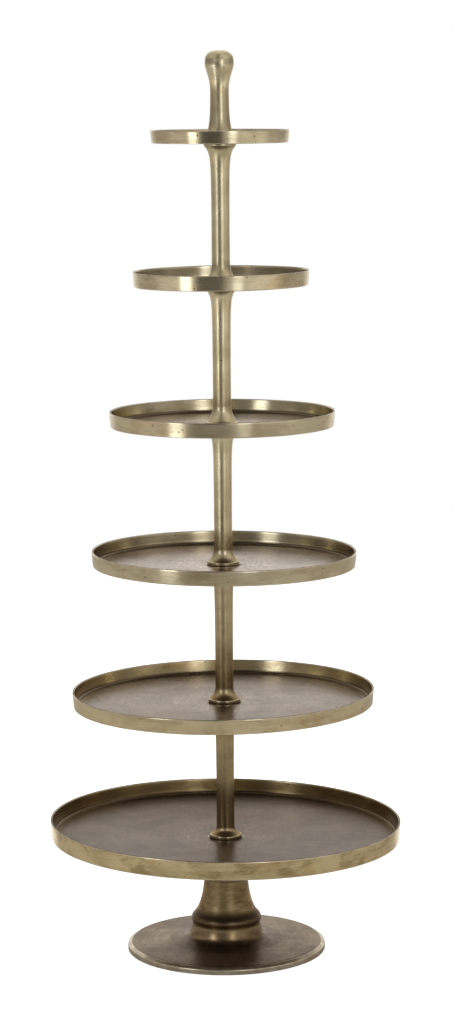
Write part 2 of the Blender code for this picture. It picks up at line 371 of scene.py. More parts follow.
def place(name, mesh, material, node):
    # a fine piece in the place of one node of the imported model, on that node's body
    piece = bpy.data.objects.new(name, mesh)
    bpy.context.scene.collection.objects.link(piece)
    mesh.materials.append(material)
    body = next(b for b, members in frame["record"]["behaviour"]["bodies"].items() if node in members)
    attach(piece, body)
    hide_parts(node)
    return piece


def dish_at(radius, base, dish):
    # height of a tray's underside at any radius: flat under the hub, then up to the foot of the rim
    edge = radius - RIM_DRAFT - TRAY_WALL - FLOOR_FILLET
    return lambda r: base + dish * min(1.0, max(0.0, (r - HUB_RADIUS) / (edge - HUB_RADIUS)))


def tray_outline(radius, base, top, dish, skirt, tarnish):
    # down the outside of the rim, in under the floor, up through the hole and out over the floor
    under = dish_at(radius, base, dish)
    rim_under, rim_floor = under(radius), under(radius) + TRAY_FLOOR
    rim_foot = rim_under - skirt
    foot = radius - RIM_DRAFT
    edge = foot - TRAY_WALL
    seat = base + TRAY_FLOOR - SPOT_DEPTH
    points = [
        (radius - TRAY_WALL, top, 0.0),
        (radius, top, RIM_TOP_ROUND),
        (foot, rim_foot, RIM_FOOT_BEVEL),
        *([(edge, rim_foot, SKIRT_ROUND), (edge, rim_under, SKIRT_FILLET)] if skirt else []),
        (edge - FLOOR_FILLET, rim_under, 0.0),
        (HUB_RADIUS, base, 0.0),
        (HOLE_RADIUS, base, HOLE_ROUND),
        (HOLE_RADIUS, seat, HOLE_ROUND),
        (SPOT_RADIUS, seat, 0.0),
    ]
    outline = rounded(points, False)[1:-1]
    outline.append((SPOT_RADIUS - SPOT_DEPTH, seat, -0.6))
    outline.append((SPOT_RADIUS + SPOT_DEPTH, base + TRAY_FLOOR, 0.4))
    inner = edge - INNER_LEAN - FLOOR_FILLET - FLOOR_GROOVE_INSET
    for i in range(1, FLOOR_STEPS):
        r = SPOT_RADIUS + (inner - SPOT_RADIUS) * i / FLOOR_STEPS
        outline.append((r, under(r) + TRAY_FLOOR, 0.0))
    cut = (FLOOR_GROOVE_WIDTH, FLOOR_GROOVE_DEPTH)
    outline += groove(inner, under(inner) + TRAY_FLOOR, (1, 0), (0, 1), *cut)
    toe = (edge - INNER_LEAN, rim_floor)
    outline += corner((inner, rim_floor), toe, (radius - TRAY_WALL, top), FLOOR_FILLET)
    for share in INNER_SHARES:
        r = toe[0] + (radius - TRAY_WALL - toe[0]) * share
        outline.append((r, rim_floor + (top - rim_floor) * share, -tarnish))
    outline += corner(toe, (radius - TRAY_WALL, top), (radius, top), RIM_TOP_ROUND)
    return outline


def tray_uneven(radius, base, top, dish, seed, set_by):
    # the casting isn't quite true: the rim wanders a little inwards, the floor is hollow in places,
    # and outside its seat the tray is warped to one side, as set_by says: shift, slopes and lift
    under = dish_at(radius, base, dish)
    shift, slope_x, slope_y, lift = set_by

    def uneven(r, z, turn):
        share = max(0.0, (z - base) / (top - base))
        wander = 0.5 + 0.5 * np.sin(3 * turn + seed) * np.cos(2 * turn + 1.7 * seed)
        ripple = 0.5 + 0.5 * np.sin(11 * turn + 2.3 * seed + np.sin(4 * turn))
        inward = -RIM_UNEVEN * (0.7 * wander + 0.3 * ripple)
        limit = radius - 3.0 * TRAY_WALL
        near_rim = 1.0 if r > limit else 0.0
        low = -RIM_UNEVEN * 0.6 * (0.5 + 0.5 * np.sin(5 * turn + 0.6 * seed)) * share
        on_floor = 1.0 if r <= limit and z > under(r) + TRAY_FLOOR * 0.5 else 0.0
        bent = r * FLOOR_WAVES + seed + 1.3 * np.sin(2 * turn + seed)
        waves = np.sin(bent) * np.cos(3 * turn - 0.8 * seed)
        fade = min(1.0, max(0.0, (r - FLOOR_WAVES_FROM) / FLOOR_WAVES_FADE))
        fade = fade * min(1.0, max(0.0, (limit - r) / RIM_FADE))
        free = min(1.0, max(0.0, (r - HUB_RADIUS) / SEAT_FADE))
        slope = r * (slope_x * np.cos(turn) + slope_y * np.sin(turn))
        warp = free * free * (3.0 - 2.0 * free) * (slope + lift * r / radius)
        hollow = on_floor * FLOOR_UNEVEN * fade * 0.3 * (waves - 1.0)
        moved = shift * (r / radius) ** 2 * np.cos(turn)
        return near_rim * inward + moved, near_rim * low + hollow + warp

    return uneven


def bore(base, up, depth):
    # a plain hole on the axis, from its mouth to the middle of its end
    end = base + up * depth
    return [(SOCKET_RADIUS, base, 0.0), (SOCKET_RADIUS, end, 0.0), (0.0, end, 0.0)]


def flange_round(radius, face, up):
    # rounded outer edge of a flange, starting on its flat face
    points = [(radius - 4 * FLANGE_ROUND, face), (radius, face), (radius, face + up * FLANGE_EDGE)]
    return corner(*points, FLANGE_ROUND)[1:-1]


def flange_foot(radius, face):
    # lower flange: rounded and rubbed at its upper edge, with a thin skirt round the washer beneath it
    ledge, hem = face + FLANGE_EDGE, face - FLANGE_SKIRT
    inner = radius - FLANGE_SKIRT_WIDTH
    start, upper, lower = (radius - 4 * FLANGE_ROUND, ledge), (radius, ledge), (radius, hem)
    points = corner(start, upper, lower, FLANGE_TOP_ROUND)[1:-1]
    under = corner(upper, lower, (inner, hem), FLANGE_HEM_ROUND)[1:-1]
    points += [(r, z, 0.0) for r, z, _ in under]
    return points + [(inner, hem, 0.0), (inner - FLANGE_HEM_LEAN, face, -0.5)]


def pole_outline(base, length, flange, flare_low):
    # from the socket in the top, down the shaft with its two flares, to the bore that grips the stud
    def radius(h):
        along = (h - POLE_WAIST_HEIGHT) / (length - POLE_WAIST_HEIGHT)
        shaft = POLE_WAIST_RADIUS + POLE_SWELL * along ** 2
        cove = max(0.0, 1.0 - max(h - FLANGE_EDGE, 0.0) / flare_low)
        low = (flange - FLANGE_LEDGE - shaft) * cove ** FLARE_POWER
        high = (flange - shaft) * math.exp(-max(length - FLANGE_EDGE - h, 0.0) / FLARE_HIGH)
        return shaft + low + high

    # painted shade on the top of the shaft, just under the tray above
    def painted_shade(h):
        return -COLLAR_SHADE * math.exp(-(length - h) / COLLAR_SHADE_REACH)

    heights = [FLANGE_EDGE + FLARE_STEP * i for i in range(FLARE_STEPS_LOW)]
    shaft_length = length - SHAFT_FROM - SHAFT_SHORT
    heights += [SHAFT_FROM + shaft_length * i / SHAFT_STEPS for i in range(1, SHAFT_STEPS)]
    heights += [length - FLANGE_EDGE - FLARE_STEP * i for i in range(FLARE_STEPS_HIGH, -1, -1)]
    heights += [length - FLANGE_EDGE * 0.8]
    outer = [(min(radius(h), flange), base + h, painted_shade(h)) for h in heights[::-1]]
    top = base + length
    outline = bore(top, -1, SOCKET_DEPTH)[::-1]
    outline += flange_round(flange, top, -1) + outer
    outline += flange_foot(flange, base) + bore(base, 1, GRIP_DEPTH)
    return outline


def handle_outline(base, height, flange):
    # knob, neck and flare, from the top down to the bore that grips the stud
    widest = height - KNOB_DOME
    knob_start = widest - KNOB_NECK
    # painted shade darkens the knob's top, its widest part and the swell below it
    outer = [(0.0, base + height, -KNOB_TOP_SHADE)]
    for i in range(1, DOME_STEPS + 1):
        rise = math.cos(i / DOME_STEPS * math.pi / 2.0) ** 0.8
        wide = (1.0 - rise ** KNOB_SQUARENESS) ** (1.0 / KNOB_SQUARENESS)
        painted_shade = -KNOB_SHADE * (1.0 - rise) ** 2 - KNOB_TOP_SHADE * rise ** 3
        outer.append((KNOB_RADIUS * wide, base + widest + KNOB_DOME * rise, painted_shade))
    spread = flange - FLANGE_LEDGE - HANDLE_WAIST_RADIUS
    for i in range(NECK_STEPS - 1, -1, -1):
        h = knob_start + KNOB_NECK * i / NECK_STEPS
        share = (i / NECK_STEPS) ** KNOB_SWELL
        swell = share * share * (3.0 - 2.0 * share)
        flare = spread * math.exp(-(h - FLANGE_EDGE) / HANDLE_FLARE)
        knob = HANDLE_WAIST_RADIUS + (KNOB_RADIUS - HANDLE_WAIST_RADIUS) * swell
        outer.append((knob + flare, base + h, -KNOB_SHADE * swell))
    for i in range(WAIST_STEPS - 1, -1, -1):
        h = FLANGE_EDGE + (knob_start - FLANGE_EDGE) * i / WAIST_STEPS
        flare = spread * math.exp(-(h - FLANGE_EDGE) / HANDLE_FLARE)
        outer.append((HANDLE_WAIST_RADIUS + flare, base + h, 0.0))
    return outer + flange_foot(flange, base) + bore(base, 1, GRIP_DEPTH)


def foot_outline(base, height, rim):
    # down the column, over the shoulder and bell, across the plate, and back up inside the hollow
    wall_top = FOOT_SHOULDER_HEIGHT - FOOT_LIP
    edge = rim - FOOT_RIM_BEVEL

    def flare(h):
        above = h - FOOT_SHOULDER_HEIGHT
        spread = FOOT_SHOULDER_RADIUS - FOOT_LIP_SPREAD - FOOT_COLUMN_RADIUS
        lip = FOOT_LIP_SPREAD * math.exp(-above / FOOT_LIP_FLARE)
        return FOOT_COLUMN_RADIUS + spread * math.exp(-above / FOOT_FLARE) + lip

    def widening(h):
        return FOOT_BELL_SPREAD * max(0.0, math.exp((wall_top - h) / FOOT_BELL_FLARE) - 1.0)

    def bell(h):
        spread = edge - FOOT_SHOULDER_RADIUS - widening(FOOT_RIM_EDGE)
        above = FOOT_SHOULDER_HEIGHT - FOOT_SHOULDER_ROUND
        end = above if h > FOOT_HOLLOW_HEIGHT else FOOT_HOLLOW_LOW
        share = min(1.0, max(0.0, (end - h) / (end - FOOT_HOLLOW_HEIGHT)))
        hollow = FOOT_HOLLOW * share * share * (3.0 - 2.0 * share)
        cove = spread * math.exp(-(h - FOOT_RIM_EDGE) / FOOT_COVE)
        return FOOT_SHOULDER_RADIUS + widening(h) - hollow + cove

    def neck(h):
        # painted shade in the narrow place between flare and bell, and less of it on the bell
        under, over = FOOT_NECK_LOW - h, h - FOOT_NECK_HIGH
        off = max(under / FOOT_NECK_FADE, over / FOOT_NECK_FADE_HIGH)
        bell_shade = FOOT_BELL_SHADE if FOOT_HOLLOW_LOW < h < FOOT_NECK_LOW else 0.0
        return -max(bell_shade, FOOT_NECK_SHADE * min(1.0, max(0.0, 1.0 - off)))

    top = base + height
    shaft = flare(height)
    outline = bore(top, -1, SOCKET_DEPTH)[::-1]
    outline += corner((0.0, top), (shaft, top), (shaft, base), FLANGE_ROUND)[1:]
    first = FOOT_SHOULDER_HEIGHT + FOOT_SHOULDER_ROUND
    reach = height - COLUMN_TOP - first
    column = [first + reach * (i / COLUMN_STEPS) ** 1.5 for i in range(COLUMN_STEPS, -1, -1)]
    cut = False
    for h in column:
        if h < COLUMN_GROOVE_HEIGHT and not cut:
            cut = True
            sunk = (COLUMN_GROOVE_WIDTH, COLUMN_GROOVE_DEPTH)
            line = (flare(COLUMN_GROOVE_HEIGHT), base + COLUMN_GROOVE_HEIGHT)
            outline += groove(*line, (0, -1), (1, 0), *sunk)
        if abs(h - COLUMN_GROOVE_HEIGHT) > COLUMN_GROOVE_WIDTH:
            outline.append((flare(h), base + h, neck(h)))
    tip = (FOOT_SHOULDER_RADIUS, FOOT_SHOULDER_HEIGHT - FOOT_SHOULDER_ROUND)
    for i in range(1, SHOULDER_STEPS + 1):
        t = i / SHOULDER_STEPS
        r = flare(first) * (1 - t) ** 2 + 2 * FOOT_SHOULDER_RADIUS * t * (1 - t) + tip[0] * t * t
        z = first * (1 - t) ** 2 + 2 * FOOT_SHOULDER_HEIGHT * t * (1 - t) + tip[1] * t * t
        outline.append((r, base + z, neck(z)))
    knee = FOOT_RIM_EDGE + BELL_KNEE * FOOT_COVE
    start = tip[1] - BELL_START
    wall = [start - (start - knee) * i / BELL_STEPS for i in range(BELL_STEPS)]
    shares = [max(1.0 - i / BELL_STEPS, math.exp(-BELL_KNEE)) for i in range(BELL_STEPS, -1, -1)]
    plate = [FOOT_RIM_EDGE - FOOT_COVE * math.log(share) for share in shares]
    ring = edge - PLATE_GROOVE_INSET
    cut = False
    for h in wall + plate:
        if bell(h) > ring and not cut:
            cut = True
            sunk = (PLATE_GROOVE_WIDTH, PLATE_GROOVE_DEPTH)
            outline += groove(ring, base + h, (1, -0.04), (0, 1), *sunk)
        if abs(bell(h) - ring) > 1.2 * PLATE_GROOVE_WIDTH:
            outline.append((bell(h), base + h, neck(h)))
    lip = (edge, base + FOOT_RIM_EDGE)
    side = (rim, base + FOOT_RIM_EDGE - FOOT_RIM_DROP)
    mouth = rim - FOOT_LAND
    middle = rim - FOOT_LAND / 2.0
    outline.pop()
    # the rim's bevel and side: worn, and lightened as painted sheen
    outline += [(r, z, 1.0) for r, z, _ in corner(outline[-1], lip, side, FOOT_RIM_ROUND)[1:-1]]
    outline += [(r, z, 1.0) for r, z, _ in corner(lip, side, (rim, base), FOOT_SIDE_ROUND)[1:-1]]
    outline += corner(side, (rim, base), (mouth, base), FLANGE_ROUND)[1:-1]
    outline += [(middle + PAD_GROOVE, base, 0.0), (middle + PAD_GROOVE, base + PAD_SUNK, -1.0)]
    outline += [(middle - PAD_GROOVE, base + PAD_SUNK, -1.0), (middle - PAD_GROOVE, base, 0.0)]
    outline += corner((rim, base), (mouth, base), (mouth, base + FOOT_MOUTH_HEIGHT), FOOT_MOUTH_ROUND)[1:-1]
    for h in plate[::-1] + wall[::-1]:
        r = bell(h) - FOOT_WALL
        if r < mouth - 0.001 and h > FOOT_WALL:
            outline.append((r, base + h - FOOT_WALL, 0.0))
    cavity_top = height - FOOT_BOSS
    for h in column[::-3]:
        if h < cavity_top - 0.004:
            outline.append((flare(h) - FOOT_WALL, base + h, 0.0))
    outline.append((flare(cavity_top) - FOOT_WALL, base + cavity_top, 0.0))
    outline.append((0.0, base + cavity_top, 0.0))
    return outline


def washer_outline(outside, base, top):
    fillet = (top - base) * 0.35
    points = [(outside, top), (outside, base), (HOLE_RADIUS, base), (HOLE_RADIUS, top)]
    return rounded([(r, z, fillet) for r, z in points], True)


def pad_outline(radius, base, top):
    sides = [(radius, top, PAD_ROUND), (radius, base, PAD_ROUND)]
    return rounded([(0.0, top, 0.0), *sides, (0.0, base, 0.0)], False)


def stud_mesh(name, radius, base, top):
    # a cut thread: the outline of one turn winds up the stud and runs out at its chamfered ends
    per_turn = ((0.0, 0.0), (0.36, 1.0), (0.64, 1.0), (1.0, 0.0))
    length = top - base
    turns = int(length / THREAD_PITCH) - 1
    points, faces, rings = [], [], []
    for step in range(turns * THREAD_SIDES + 1):
        angle = math.tau * step / THREAD_SIDES
        rise = base + (step / THREAD_SIDES) * THREAD_PITCH
        ring = []
        for along, cut in per_turn[:-1]:
            z = rise + along * THREAD_PITCH
            end = min(z - base, top - z) / THREAD_CHAMFER
            slant = THREAD_CHAMFER * (1.0 - min(1.0, max(end, 0.0)))
            r = radius - max(THREAD_DEPTH * cut, slant)
            ring.append(len(points))
            points.append((r * math.cos(angle), r * math.sin(angle), z))
        rings.append(ring)
    sides = len(per_turn) - 1
    for a, b in zip(rings[:-1], rings[1:]):
        for k in range(sides - 1):
            faces.append((a[k], b[k], b[k + 1], a[k + 1]))
    for step in range(len(rings) - THREAD_SIDES - 1):
        a, b = rings[step], rings[step + 1]
        c, d = rings[step + THREAD_SIDES], rings[step + THREAD_SIDES + 1]
        faces.append((a[-1], b[-1], d[0], c[0]))
    low = [r[0] for r in rings[:THREAD_SIDES + 1]]
    high = [r[-1] for r in rings[-THREAD_SIDES - 1:]]
    bottom, lid = len(points), len(points) + 1
    points += [(0.0, 0.0, base), (0.0, 0.0, top)]
    faces += [(bottom, low[i + 1], low[i]) for i in range(THREAD_SIDES)]
    faces += [(lid, high[i], high[i + 1]) for i in range(THREAD_SIDES)]
    faces.append((bottom, low[0], rings[0][1], rings[0][2], rings[THREAD_SIDES][0]))
    faces.append((lid, rings[-1][2], rings[-1][1], rings[-1][0], high[0]))
    mesh = bpy.data.meshes.new(name)
    mesh.from_pydata(points, [], faces)
    mesh.validate()
    return mesh


class Graph:
    # short calls for building a node tree; an input is a socket to link or a value to set
    def __init__(self, tree):
        self.tree = tree
        tree.nodes.clear()

    def node(self, kind, inputs=None, **settings):
        made = self.tree.nodes.new("ShaderNode" + kind)
        for key, value in settings.items():
            setattr(made, key, value)
        for key, value in (inputs or {}).items():
            if isinstance(value, bpy.types.NodeSocket):
                self.tree.links.new(value, made.inputs[key])
            else:
                made.inputs[key].default_value = value
        return made

    def math(self, operation, a, b=0.0, clamp=False):
        return self.node("Math", {0: a, 1: b}, operation=operation, use_clamp=clamp).outputs[0]

    def vector(self, operation, a, b=(0.0, 0.0, 0.0)):
        return self.node("VectorMath", {0: a, 1: b}, operation=operation)

    def noise(self, vector, scale, detail=4.0, roughness=0.55, distortion=0.0):
        inputs = {"Vector": vector, "Scale": scale, "Detail": detail, "Roughness": roughness,
                  "Distortion": distortion}
        return self.node("TexNoise", inputs).outputs[0]

    def step(self, value, low, high, to_low=0.0, to_high=1.0):
        inputs = {"Value": value, "From Min": low, "From Max": high,
                  "To Min": to_low, "To Max": to_high}
        return self.node("MapRange", inputs, interpolation_type="SMOOTHSTEP").outputs[0]

    def mix(self, share, a, b, blend="MIX"):
        return self.node("Mix", {0: share, 6: a, 7: b}, data_type="RGBA", blend_type=blend).outputs[2]


def turned_coordinates(g):
    # object position, radius, height and direction from the axis, for marks that run round the piece
    place_ = g.node("TexCoord").outputs["Object"]
    flat = g.vector("MULTIPLY", place_, (1.0, 1.0, 0.0)).outputs[0]
    radius = g.vector("LENGTH", flat).outputs["Value"]
    around = g.vector("NORMALIZE", flat).outputs[0]
    height = g.node("SeparateXYZ", {0: place_}).outputs[2]
    return place_, radius, height, around


def turning_lines(g, around, along, per_metre, length):
    # brushed lines that run round the axis: fine across the surface, long round it
    across = g.node("CombineXYZ", {2: g.math("MULTIPLY", along, per_metre)}).outputs[0]
    round_ = g.vector("SCALE", around)
    round_.inputs["Scale"].default_value = length
    return g.noise(g.vector("ADD", round_.outputs[0], across).outputs[0], 1.0, 3.0, 0.6)


def bronze(name, low, high, span, roughness, lengthwise, pit_share, rub_and_sheen_colour, dull, seed):
    # aged bronze: brushed, bright on worn edges and with painted sheen on the foot's rim, brown in corners
    # from grime and painted shade, darker on undersides as painted shade, with patina on flat floors
    # low and high are the tones at the two ends of the span of heights
    material = bpy.data.materials.new(name)
    material.use_nodes = True
    g = Graph(material.node_tree)
    spot, radius, height, around = turned_coordinates(g)
    # share of the span of heights: the tones darken towards the bottom of the stand
    height_share = g.step(height, *span)
    tones = [g.mix(height_share, (*a, 1.0), (*b, 1.0)) for a, b in zip(low, high)]
    light, dark, floor_light, floor_dark = tones
    moved = g.vector("ADD", spot, (seed * 3.7, seed * 1.9, seed * 0.31)).outputs[0]
    along = g.math("ADD", radius, height)
    if lengthwise:
        strokes = g.vector("MULTIPLY", moved, (700.0, 700.0, 22.0)).outputs[0]
        fine = g.noise(strokes, 1.0, 3.0, 0.6)
        broad = g.noise(g.vector("MULTIPLY", moved, (190.0, 190.0, 5.0)).outputs[0], 1.0, 3.0, 0.6)
    else:
        fine = turning_lines(g, around, along, 1400.0, 5.0)
        broad = turning_lines(g, around, along, 330.0, 3.0)
    lines = g.math("ADD", g.math("MULTIPLY", fine, 0.5), g.math("MULTIPLY", broad, 0.5))

    flat = g.vector("MULTIPLY", moved, (1.0, 1.0, 2.4)).outputs[0]
    cloud = g.noise(flat, 9.0, 6.0, 0.66)
    speck = g.noise(moved, 120.0, 4.0, 0.65)
    tone = g.math("ADD", g.math("MULTIPLY", cloud, 0.75), g.math("MULTIPLY", lines, 0.45))
    colour = g.mix(g.step(tone, 0.50, 0.72), light, dark)
    long = g.vector("MULTIPLY", moved, (2.5, 2.5, 0.9) if lengthwise else (1.0, 1.0, 2.2)).outputs[0]
    marked = 0.25 if lengthwise else g.step(height_share, 0.0, 1.0, 0.75, 0.35)
    stain = g.step(g.noise(long, 11.0, 6.0, 0.62, 0.5), 0.53, 0.70)
    colour = g.mix(g.math("MULTIPLY", stain, marked), colour, STAIN_TINT, "MULTIPLY")
    smudge = g.step(g.noise(long, 23.0, 5.0, 0.65, 0.3), 0.50, 0.66)
    colour = g.mix(g.math("MULTIPLY", smudge, marked), colour, SMUDGE_TINT, "MULTIPLY")

    normal = g.node("NewGeometry").outputs["Normal"]
    up = g.node("SeparateXYZ", {0: normal}).outputs[2]
    floor = g.step(up, 0.45, 0.90)
    outward = g.node("SeparateXYZ", {0: spot})
    outward = g.node("CombineXYZ", {0: outward.outputs[0], 1: outward.outputs[1]}).outputs[0]
    facing = g.vector("DOT_PRODUCT", g.vector("NORMALIZE", outward).outputs[0], normal).outputs["Value"]
    inside = g.step(facing, -0.3, -0.8)
    inside = g.math("MULTIPLY", inside, g.math("SUBTRACT", 0.80, g.math("MULTIPLY", height_share, 1.8), True))
    colour = g.mix(inside, colour, INSIDE_TINT, "MULTIPLY")
    rings = turning_lines(g, around, radius, 260.0, 1.6)
    strokes = g.noise(g.vector("MULTIPLY", moved, (14.0, 150.0, 1.0)).outputs[0], 1.0, 4.0, 0.6)
    mottle = g.math("ADD", g.math("MULTIPLY", g.noise(moved, 11.0, 8.0, 0.68, 0.5), 0.62),
                    g.math("ADD", g.math("MULTIPLY", rings, 0.22), g.math("MULTIPLY", strokes, 0.22)))
    patina = g.mix(g.step(mottle, 0.42, 0.64), floor_light, floor_dark)
    warm = g.step(g.noise(moved, 6.5, 4.0, 0.6, 0.3), 0.50, 0.68)
    patina = g.mix(g.math("MULTIPLY", warm, 0.45), patina, WARM_TINT, "MULTIPLY")
    bloom = g.step(g.noise(moved, 9.0, 6.0, 0.72, 0.8), 0.50, 0.66)
    patina = g.mix(g.math("MULTIPLY", bloom, 0.45), patina, BLOOM_TINT, "MULTIPLY")
    collar = g.math("MULTIPLY", g.step(radius, 0.030, 0.045), g.step(radius, 0.105, 0.070))
    grain = g.noise(g.vector("MULTIPLY", moved, (1.0, 0.35, 1.0)).outputs[0], 150.0, 3.0, 0.7)
    strength = g.math("ADD", g.math("MULTIPLY", collar, 0.55), 0.35)
    marks = g.math("MULTIPLY", g.step(grain, 0.44, 0.60), strength)
    patina = g.mix(marks, patina, GRAIN_TINT, "MULTIPLY")
    colour = g.mix(floor, colour, patina)
    # painted shade: down-facing surfaces turn dark
    colour = g.mix(g.step(up, -0.5, -0.9), colour, UNDERSIDE_SHADE)

    tone_shift = g.node("Attribute", attribute_name="tone_shift").outputs["Fac"]
    patchy = g.step(g.noise(moved, 34.0, 4.0, 0.6), 0.38, 0.62)
    patchy = g.math("ADD", g.math("MULTIPLY", patchy, 0.5), 0.5)
    # lighter on worn edges; on the foot's rim this is also painted sheen
    rub_and_sheen = g.math("MULTIPLY", g.step(tone_shift, 0.1, 0.9), patchy, True)
    colour = g.mix(g.math("MULTIPLY", rub_and_sheen, 0.8), colour, (*rub_and_sheen_colour, 1.0))
    # darker with grime in inside corners, and with painted shade on the foot's neck and bell, the poles'
    # top flares and the knob
    grime_and_shade = g.step(g.math("MULTIPLY", tone_shift, -1.0), 0.1, 0.9)
    colour = g.mix(g.math("MULTIPLY", grime_and_shade, 0.85), colour, GRIME_AND_SHADE)

    cells = g.node("TexVoronoi", {"Vector": moved, "Scale": 140.0})
    chosen = g.node("SeparateXYZ", {0: cells.outputs["Color"]}).outputs[0]
    pit = g.step(cells.outputs["Distance"], 0.30, 0.12)
    pit = g.math("MULTIPLY", pit, g.math("LESS_THAN", chosen, pit_share))
    colour = g.mix(g.math("MULTIPLY", pit, 0.8), colour, GRIME_AND_SHADE)

    rough = g.math("ADD", g.math("MULTIPLY", g.math("SUBTRACT", tone, 0.6), 0.22), roughness)
    rough = g.math("ADD", rough, g.math("MULTIPLY", floor, g.step(height_share, 0.0, 1.0, 0.13, 0.02)))
    rough = g.math("ADD", rough, g.step(height, *DULL_FROM, 0.0, dull))
    rough = g.math("SUBTRACT", rough, g.math("MULTIPLY", rub_and_sheen, 0.08), True)

    relief = g.math("ADD", g.math("MULTIPLY", lines, 0.6), g.math("MULTIPLY", speck, 0.35))
    relief = g.math("SUBTRACT", relief, g.math("MULTIPLY", pit, 1.5))
    relief = g.math("ADD", relief, g.math("MULTIPLY", floor, g.math("MULTIPLY", marks, 0.8)))
    depth = {"Strength": 0.08 if lengthwise else 0.32, "Distance": 0.00018}
    bump = g.node("Bump", {"Height": relief, **depth})
    tangent = g.node("Tangent", direction_type="RADIAL", axis="Z")
    shader = g.node("BsdfPrincipled", {
        "Base Color": colour,
        "Metallic": 1.0,
        "Roughness": rough,
        "Anisotropic": 0.40 if lengthwise else 0.25,
        "Anisotropic Rotation": 0.0 if lengthwise else 0.25,
        "Normal": bump.outputs[0],
        "Tangent": tangent.outputs[0],
        "Specular Tint": EDGE_TINT,
        "Coat Weight": 0.06,
        "Coat Roughness": 0.22,
    })
    g.node("OutputMaterial", {"Surface": shader.outputs[0]})
    return material


def plain_finish(name, low, high, roughness, metallic, scale, relief):
    # zinc, fibre or felt: two colours mixed by a fine grain, with the same grain as relief
    material = bpy.data.materials.new(name)
    material.use_nodes = True
    g = Graph(material.node_tree)
    spot = g.node("TexCoord").outputs["Object"]
    grain = g.noise(spot, scale, 5.0, 0.65)
    colour = g.mix(g.step(grain, 0.35, 0.65), (*low, 1.0), (*high, 1.0))
    bump = g.node("Bump", {"Height": grain, "Strength": 0.6, "Distance": relief})
    rough = g.math("ADD", g.math("MULTIPLY", grain, 0.2), roughness - 0.1)
    shader = g.node("BsdfPrincipled", {
        "Base Color": colour, "Metallic": metallic, "Roughness": rough, "Normal": bump.outputs[0],
    })
    g.node("OutputMaterial", {"Surface": shader.outputs[0]})
    return material


def build_pieces():
    rim = bronze(
        "tray_bronze_aged", RIM_LOW, RIM_HIGH, RIM_SPAN,
        roughness=0.20, lengthwise=False, pit_share=0.025, rub_and_sheen_colour=RUBBED, dull=0.0, seed=1.0)
    pole = bronze(
        "pole_bronze_aged", POLE_LOW, POLE_HIGH, POLE_SPAN,
        roughness=0.29, lengthwise=True, pit_share=0.008, rub_and_sheen_colour=RUBBED, dull=0.0, seed=2.0)
    foot = bronze(
        "foot_bronze_aged", FOOT_ALL, FOOT_ALL, FOOT_SPAN,
        roughness=0.29, lengthwise=False, pit_share=0.02, rub_and_sheen_colour=FOOT_RUB_AND_SHEEN, dull=0.14, seed=3.0)
    zinc = plain_finish(
        "zinc_thread", (0.52, 0.53, 0.55), (0.68, 0.68, 0.69),
        roughness=0.35, metallic=1.0, scale=900.0, relief=0.00005)
    # painted light: the fibre is lighter than its own dark brown, to soften the shade line under each
    # flange
    fibre = plain_finish(
        "pressed_fibre", (0.30, 0.235, 0.155), (0.42, 0.34, 0.23),
        roughness=0.8, metallic=0.0, scale=1500.0, relief=0.0001)
    felt = plain_finish(
        "pressed_felt", (0.035, 0.03, 0.028), (0.075, 0.066, 0.06),
        roughness=0.95, metallic=0.0, scale=2600.0, relief=0.0003)
    for node in sorted(frame["nodes"]):
        low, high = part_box(node)
        radius = (high.x - low.x) / 2.0
        kind = node.split("_")[0]
        name = node + "_fine"
        if kind == "tray":
            seed = float(node.split("_")[1])
            dish, skirt = (BOTTOM_TRAY_DISH, BOTTOM_RIM_SKIRT) if node == "tray_1" else (0.0, 0.0)
            outline = tray_outline(radius, low.z, high.z, dish, skirt, INNER_TARNISH[node])
            uneven = tray_uneven(radius, low.z, high.z, dish, seed, TRAY_SET[node])
            place(name, lathe(name, outline, TRAY_SEGMENTS, True, uneven), rim, node)
        elif kind == "pole":
            outline = pole_outline(low.z, high.z - low.z, radius, FLARE_LOW[node])
            place(name, lathe(name, outline, POLE_SEGMENTS, False), pole, node)
        elif kind == "handle":
            outline = handle_outline(low.z, high.z - low.z, radius)
            place(name, lathe(name, outline, POLE_SEGMENTS, False), pole, node)
        elif kind == "base":
            outline = foot_outline(low.z, high.z - low.z, radius)
            place(name, lathe(name, outline, FOOT_SEGMENTS, False), foot, node)
        elif kind == "washer":
            outline = washer_outline(radius, low.z, high.z)
            place(name, lathe(name, outline, WASHER_SEGMENTS, True), fibre, node)
        elif kind == "stud":
            place(name, stud_mesh(name, radius, low.z, high.z), zinc, node)
        else:
            mesh = lathe(name, pad_outline(radius, low.z, high.z), PAD_SEGMENTS, False)
            middle = (low + high) / 2.0
            mesh.transform(Matrix.Translation((middle.x, middle.y, 0.0)))
            place(name, mesh, felt, node)


def white_rays(g, part):
    # share of white: all of it to the camera, and to metal and glass the part behind the object
    path = g.node("LightPath")
    bounced = g.math("ADD", path.outputs["Is Glossy Ray"], path.outputs["Is Transmission Ray"], True)
    return g.math("MAXIMUM", path.outputs["Is Camera Ray"], g.math("MULTIPLY", bounced, part))


